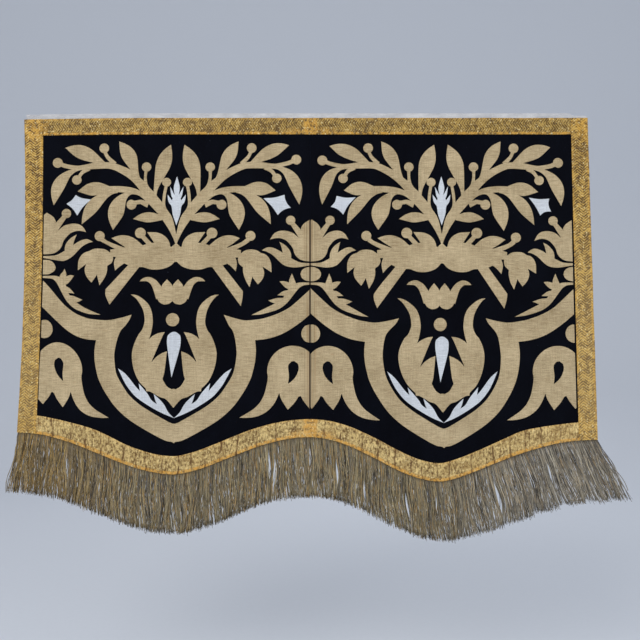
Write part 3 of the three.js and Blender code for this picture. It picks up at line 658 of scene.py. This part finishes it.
def fringe_material(thread_count):
    surface = Surface("fringe_threads", Metallic=0.15, Specular_IOR_Level=0.5)
    x, y, z = surface.axes()
    u, v, _ = surface.axes("UV")
    own = (u * thread_count).math("FLOOR", u * thread_count)
    strand = surface.node("ShaderNodeTexWhiteNoise", {"noise_dimensions": "1D"}, {"W": own})
    other = surface.node("ShaderNodeTexWhiteNoise", {"noise_dimensions": "1D"}, {"W": own + 0.37})
    mottled = surface.grain(own * 1.7, v * 4.5, 3.0, 2.0, 0.6)
    bunched = surface.grain(own * 0.37, v * 2.2, 5.0, 1.0)
    left_end = x.step(-0.34, -0.52)
    right_end = x.step(0.2, 0.45)
    dark = surface.blend(left_end, paint(40, 33, 20), paint(50, 38, 18))
    light = surface.blend(left_end, paint(184, 168, 128), paint(190, 162, 102))
    dark = surface.blend(right_end, dark, paint(38, 35, 32))
    light = surface.blend(right_end, light, paint(188, 178, 156))
    # Each thread's own tone runs from dark to light: partly the thread's colour, partly painted shade
    # standing for the dark gaps between threads.
    color = surface.blend(strand * 0.85 + mottled * 0.7 + (bunched - 0.5) * 1.6 - 0.35, dark, light)
    color = surface.blend(other.step(0.6, 0.8) * 0.5, color, paint(112, 106, 100))
    gilt = mottled.step(0.46, 0.66) * other.step(0.5, 0.3) * (1 - right_end * 0.5)
    color = surface.blend(gilt * 0.8, color, paint(184, 144, 78))
    # The top of each thread, where it comes out from under the galloon, is darkened: painted shade under the
    # galloon.
    color = surface.blend(v.step(0.12, 0.0) * 0.45, color, paint(50, 42, 28))
    wrapped = (v * 0.12 + u * 0.05).wave(0.0016)
    return surface.finish(color, 0.5, wrapped, 0.0002)


PARTINGS = [
    dict(at=-548, centre=70, half=34, wide=1.6), dict(at=-500, centre=52, half=30, wide=2.4),
    dict(at=-392, centre=60, half=30, wide=1.4), dict(at=-262, centre=58, half=28, wide=1.4),
    dict(at=-206, centre=84, half=26, wide=1.4), dict(at=-112, centre=52, half=24, wide=1.4),
    dict(at=-86, centre=58, half=40, wide=4.0), dict(at=-76, centre=70, half=50, wide=4.6),
    dict(at=-34, centre=40, half=20, wide=2.0),
    dict(at=-2, centre=50, half=36, wide=3.8), dict(at=21, centre=84, half=26, wide=1.8),
    dict(at=52, centre=66, half=34, wide=3.8), dict(at=86, centre=62, half=26, wide=2.6),
    dict(at=112, centre=82, half=32, wide=3.4), dict(at=150, centre=92, half=24, wide=2.0),
    dict(at=196, centre=74, half=44, wide=4.4), dict(at=224, centre=84, half=30, wide=2.4),
    dict(at=256, centre=64, half=28, wide=2.0), dict(at=300, centre=78, half=34, wide=2.8),
    dict(at=338, centre=60, half=28, wide=2.2), dict(at=372, centre=72, half=42, wide=4.8),
    dict(at=392, centre=84, half=30, wide=2.8), dict(at=436, centre=66, half=30, wide=2.6),
    dict(at=478, centre=58, half=36, wide=4.0), dict(at=520, centre=74, half=30, wide=2.6),
    dict(at=556, centre=60, half=28, wide=2.4),
]

LEANS = [
    dict(across=-610, lean=-7), dict(across=-520, lean=-2.5), dict(across=-420, lean=0),
    dict(across=150, lean=2), dict(across=300, lean=9), dict(across=450, lean=18), dict(across=600, lean=25),
]
FRINGE_ROWS = (1.0, 1.6, 2.2, 2.8)
STRANDS = 1000
FRINGE_LENGTH = 119.5
UNDER_GALLOON = 3.0
THREAD_RADIUS = (0.48, 0.74)

fringe_threads = fringe_material(len(FRINGE_ROWS) * STRANDS)
fringe_ends = (-WIDTHS["left"]["edge"][2] + 2.5, WIDTHS["right"]["edge"][2] - 2.5)
fringes = []


def finish_fringe(piece, material):
    piece.data.materials.append(material)
    fixed_for(piece, "fringe")
    fringes.append(piece)


strand = bmesh.new()
bmesh.ops.create_cone(strand, cap_ends=True, segments=4, radius1=1, radius2=1, depth=1)
upright = [edge for edge in strand.edges if abs(edge.verts[0].co.z - edge.verts[1].co.z) > 0.5]
bmesh.ops.subdivide_edges(strand, edges=upright, cuts=10, use_grid_fill=True)
straight = bpy.data.meshes.new("straight_strand")
strand.to_mesh(straight)
strand.free()
rough = np.array([vert.co for vert in straight.vertices])
walk = 0.5 - rough[:, 2][None, :]
turn = np.arctan2(rough[:, 1], rough[:, 0])[None, :]
chance = np.random.default_rng(4)

# Each thread has its place, length and lean, wanders by itself and sways with its neighbours. Locks draw
# together towards the right, and a parting pushes the threads on its two sides away and lays them calm.
for row, out in enumerate(FRINGE_ROWS):
    across = np.linspace(*fringe_ends, STRANDS) + 0.3 * row + chance.uniform(-0.4, 0.4, STRANDS)
    across = np.clip(across, *fringe_ends)[:, None]
    locks = np.clip((across - 300) / 160, 0, 1)
    lock_phase = across / 3.9 + 1.1 * np.sin(across / 41)
    length = FRINGE_LENGTH + 2.2 * np.sin(across / 31 + row) + chance.normal(0, 1.9, across.shape)
    length += np.where(chance.random(across.shape) < 0.06, chance.uniform(2, 6, across.shape), 0)
    length += locks * 3.5 * np.sin(lock_phase * 0.5)
    astray = np.ones_like(across)
    for parting in PARTINGS:
        astray -= 0.17 * parting["wide"] * np.exp(-((across - parting["at"]) / 9) ** 2)
    astray = np.where(chance.random(across.shape) < 0.1, 1, np.clip(astray, 0.2, 1))
    lean = np.interp(across, [at["across"] for at in LEANS], [at["lean"] for at in LEANS])
    lean = np.radians(lean + chance.normal(0, 2.1, across.shape) * astray * (1 + 0.4 * locks))
    run = walk * (length + UNDER_GALLOON)
    phase = chance.uniform(0, 2 * math.pi, (STRANDS, 3))
    middle = across + np.tan(lean) * run
    middle += 0.9 * astray * np.sin(run / 8 + phase[:, :1]) * np.minimum(run / 20, 1)
    middle += 1.7 * astray * np.sin(run / 16 + phase[:, 1:2]) * np.minimum(run / 40, 1)
    middle += 2.6 * np.sin(run / 24 + across / 17 + 2 * np.sin(across / 43)) * np.minimum(run / 70, 1)
    middle -= 0.7 * np.sin(across / 1.9 + 1.8 * np.sin(across / 37 + row)) * walk ** 2
    middle -= 3.2 * locks * np.sin(lock_phase) * walk ** 1.2
    for parting in PARTINGS:
        off = across - parting["at"]
        push = np.sign(off) * np.exp(-np.abs(off) / 9) * parting["wide"] * 0.85
        middle += push * np.exp(-((run - parting["centre"]) / (0.62 * parting["half"])) ** 2)
    depth = 1.0 + (out - 1.0) * np.minimum(run / 14, 1)
    depth = depth + 0.3 * np.sin(run / 23 + phase[:, 2:]) * np.minimum(run / 30, 1)
    radius = chance.uniform(*THREAD_RADIUS, across.shape) * (1 - 0.35 * walk ** 6)
    twist = run / 6 + phase[:, :1] + turn
    xs = middle + radius * np.cos(twist)
    outs = depth + radius * 0.75 * np.sin(twist)
    downs = np.vectorize(hem)(across) - UNDER_GALLOON + run
    gathered = bmesh.new()
    for _ in range(STRANDS):
        gathered.from_mesh(straight)
    data = bpy.data.meshes.new(f"fringe_row_{row + 1}")
    gathered.to_mesh(data)
    gathered.free()
    points = np.stack([xs, -outs, -(downs + HEADING_SHOWS)], axis=-1) / 1000
    data.vertices.foreach_set("co", points.ravel())
    corners = np.empty(len(data.loops), dtype=np.int32)
    data.loops.foreach_get("vertex_index", corners)
    own = (row * STRANDS + corners // len(rough) + 0.5) / (len(FRINGE_ROWS) * STRANDS)
    data.uv_layers.new(name="Lie").data.foreach_set(
        "uv", np.stack([own, walk[0][corners % len(rough)]], axis=-1).ravel())
    data.polygons.foreach_set("use_smooth", [True] * len(data.polygons))
    data.update()
    finish_fringe(linked(data.name, data), fringe_threads)


def stray(name, bends, thick):
    """A single thread that has come loose, through points of across, down and out."""
    line = bpy.data.curves.new(name, "CURVE")
    line.dimensions = "3D"
    line.bevel_depth = thick / 2000
    line.bevel_resolution = 1
    line.use_fill_caps = True
    spline = line.splines.new("NURBS")
    spline.points.add(len(bends) - 1)
    for point, bend in zip(spline.points, bends):
        point.co = (*place(*bend), 1)
    spline.order_u = 3
    spline.use_endpoint_u = True
    spline.resolution_u = 6
    return linked(name, from_curve(name, line))


LOOSE_THICK = 1.5
LOOSE_THREADS = {
    "fringe_stray_right": [(592, 682, 1.6), (600, 702, 2.2), (611, 722, 2.6), (622, 733, 2.9),
                           (634, 744, 3.0), (645, 758, 2.8), (653, 772, 2.4), (656, 783, 2.0)],
    "fringe_stray_left": [(-588, 704, 2.6), (-583, 726, 3.8), (-583, 752, 4.4), (-578, 778, 4.5),
                          (-570, 786, 4.5), (-563, 776, 4.4), (-561, 756, 4.2), (-566, 738, 3.8)],
}
for name, bends in LOOSE_THREADS.items():
    finish_fringe(stray(name, bends, LOOSE_THICK), fringe_threads)


def strip_lie(along, share):
    across = lerp(*fringe_ends, along)
    down = lerp(hem(across) - LAP + 0.3, hem(across) - 2, share)
    return across, down, 1.6 + 0.15 * math.sin(math.pi * share)


def strip_weave():
    surface = Surface("fringe_strip_weave", Metallic=0.2)
    x, y, z = surface.axes()
    weft = x.wave(0.0021)
    worn = surface.grain(x * 90, y, z * 300)
    color = surface.blend(weft * 0.4 + worn * 0.6, paint(84, 72, 48), paint(150, 128, 84))
    return surface.finish(color, 0.6, weft, 0.0003)


finish_fringe(woven("fringe_strip", 240, 4, strip_lie), strip_weave())


# The whole: the two velvet widths carry all else, which is sewn to them, and each hangs from the heading.
# For each width the loop works out its widest width, the pieces sewn to it and its drop less what is turned
# under the galloon, and uses none of them.

for cloth, width in zip(velvets, WIDTHS.values()):
    flat_width = max(width["edge"]) / 1000
    sewn_on = galloons + [heading] + fringes + figures if width["sign"] < 0 else []
    (width["lowest"] - 2 * LAP) / 1000


# The studio: a roll of pale paper that lies as the floor and turns up far behind, three soft disk lights,
# and a camera where the photograph's was.

FLOOR_BELOW = 0.32
PAPER_HALF_WIDTH = 18.0
PAPER_FRONT = -16.0
PAPER_TURNS_AT = 2.6
PAPER_TURN = 2.4
PAPER_RISE = 9.0


def drawn_on(paper, edge, move):
    """Draws the paper on from its last edge, and gives the new one."""
    grown = bmesh.ops.extrude_edge_only(paper, edges=[edge])["geom"]
    corners = [part for part in grown if isinstance(part, bmesh.types.BMVert)]
    bmesh.ops.translate(paper, vec=move, verts=corners)
    return paper.edges.get(corners)


paper = bmesh.new()
front = [paper.verts.new((x, PAPER_FRONT, 0)) for x in (-PAPER_HALF_WIDTH, PAPER_HALF_WIDTH)]
edge = drawn_on(paper, paper.edges.new(front), (0, PAPER_TURNS_AT - PAPER_FRONT, 0))
turned = bmesh.ops.spin(paper, geom=[edge, *edge.verts], cent=(0, PAPER_TURNS_AT, PAPER_TURN),
                        axis=(1, 0, 0), angle=math.pi / 2, steps=15)
edge = next(part for part in turned["geom_last"] if isinstance(part, bmesh.types.BMEdge))
drawn_on(paper, edge, (0, 0, PAPER_RISE))
for face in paper.faces:
    face.smooth = True
bmesh.ops.translate(paper, vec=(0, 0, cad_box[0][2] - FLOOR_BELOW), verts=paper.verts)
paper_mesh = bpy.data.meshes.new("studio_sweep")
paper.to_mesh(paper_mesh)
paper.free()
sweep = linked("studio_sweep", paper_mesh)
surface = Surface("studio_paper", Specular_IOR_Level=0.1)
x, y, z = surface.axes()
fibres = surface.grain(x * 90, y * 90, z * 90)
sweep.data.materials.append(surface.finish(
    surface.blend(fibres, paint(214, 218, 225), paint(218, 222, 228)), 0.95, fibres, 0.0001))

world = bpy.data.worlds.new("studio")
bpy.context.scene.world = world
world.use_nodes = True
sky = world.node_tree.nodes["Background"].inputs
sky["Color"].default_value = (0.88, 0.92, 1.0, 1)
sky["Strength"].default_value = 0.59

LIGHTS = [
    dict(name="key", at=(-1.6, -3.2, 1.4), size=2.6, power=70, tint=(1.0, 0.98, 0.95)),
    dict(name="fill", at=(2.2, -3.0, 0.2), size=2.4, power=36, tint=(0.94, 0.97, 1.0)),
    dict(name="back", at=(0.6, 3.0, 1.5), size=2.4, power=22, tint=(1.0, 1.0, 1.0)),
]
LIT_POINT = Vector((0, 0, -0.45))
for row in LIGHTS:
    lamp = bpy.data.lights.new(row["name"], "AREA")
    lamp.shape = "DISK"
    lamp.size = row["size"]
    lamp.energy = row["power"]
    lamp.color = row["tint"]
    light = linked(row["name"], lamp)
    light.location = row["at"]
    light.rotation_euler = (LIT_POINT - light.location).to_track_quat("-Z", "Y").to_euler()

VIEW_MIDDLE = Vector((0.0209, -0.0025, -0.4415))
VIEW_DISTANCE = 1.606
VIEW_TILT = math.radians(3.65)

lens = bpy.data.cameras.new("camera")
lens.sensor_width = 36
lens.lens = 43.2
camera = linked("camera", lens)
gaze = Vector((0, math.cos(VIEW_TILT), math.sin(VIEW_TILT)))
camera.location = VIEW_MIDDLE - VIEW_DISTANCE * gaze
camera.rotation_euler = gaze.to_track_quat("-Z", "Y").to_euler()
bpy.context.scene.camera = camera
bpy.context.scene.view_settings.view_transform = "Standard"
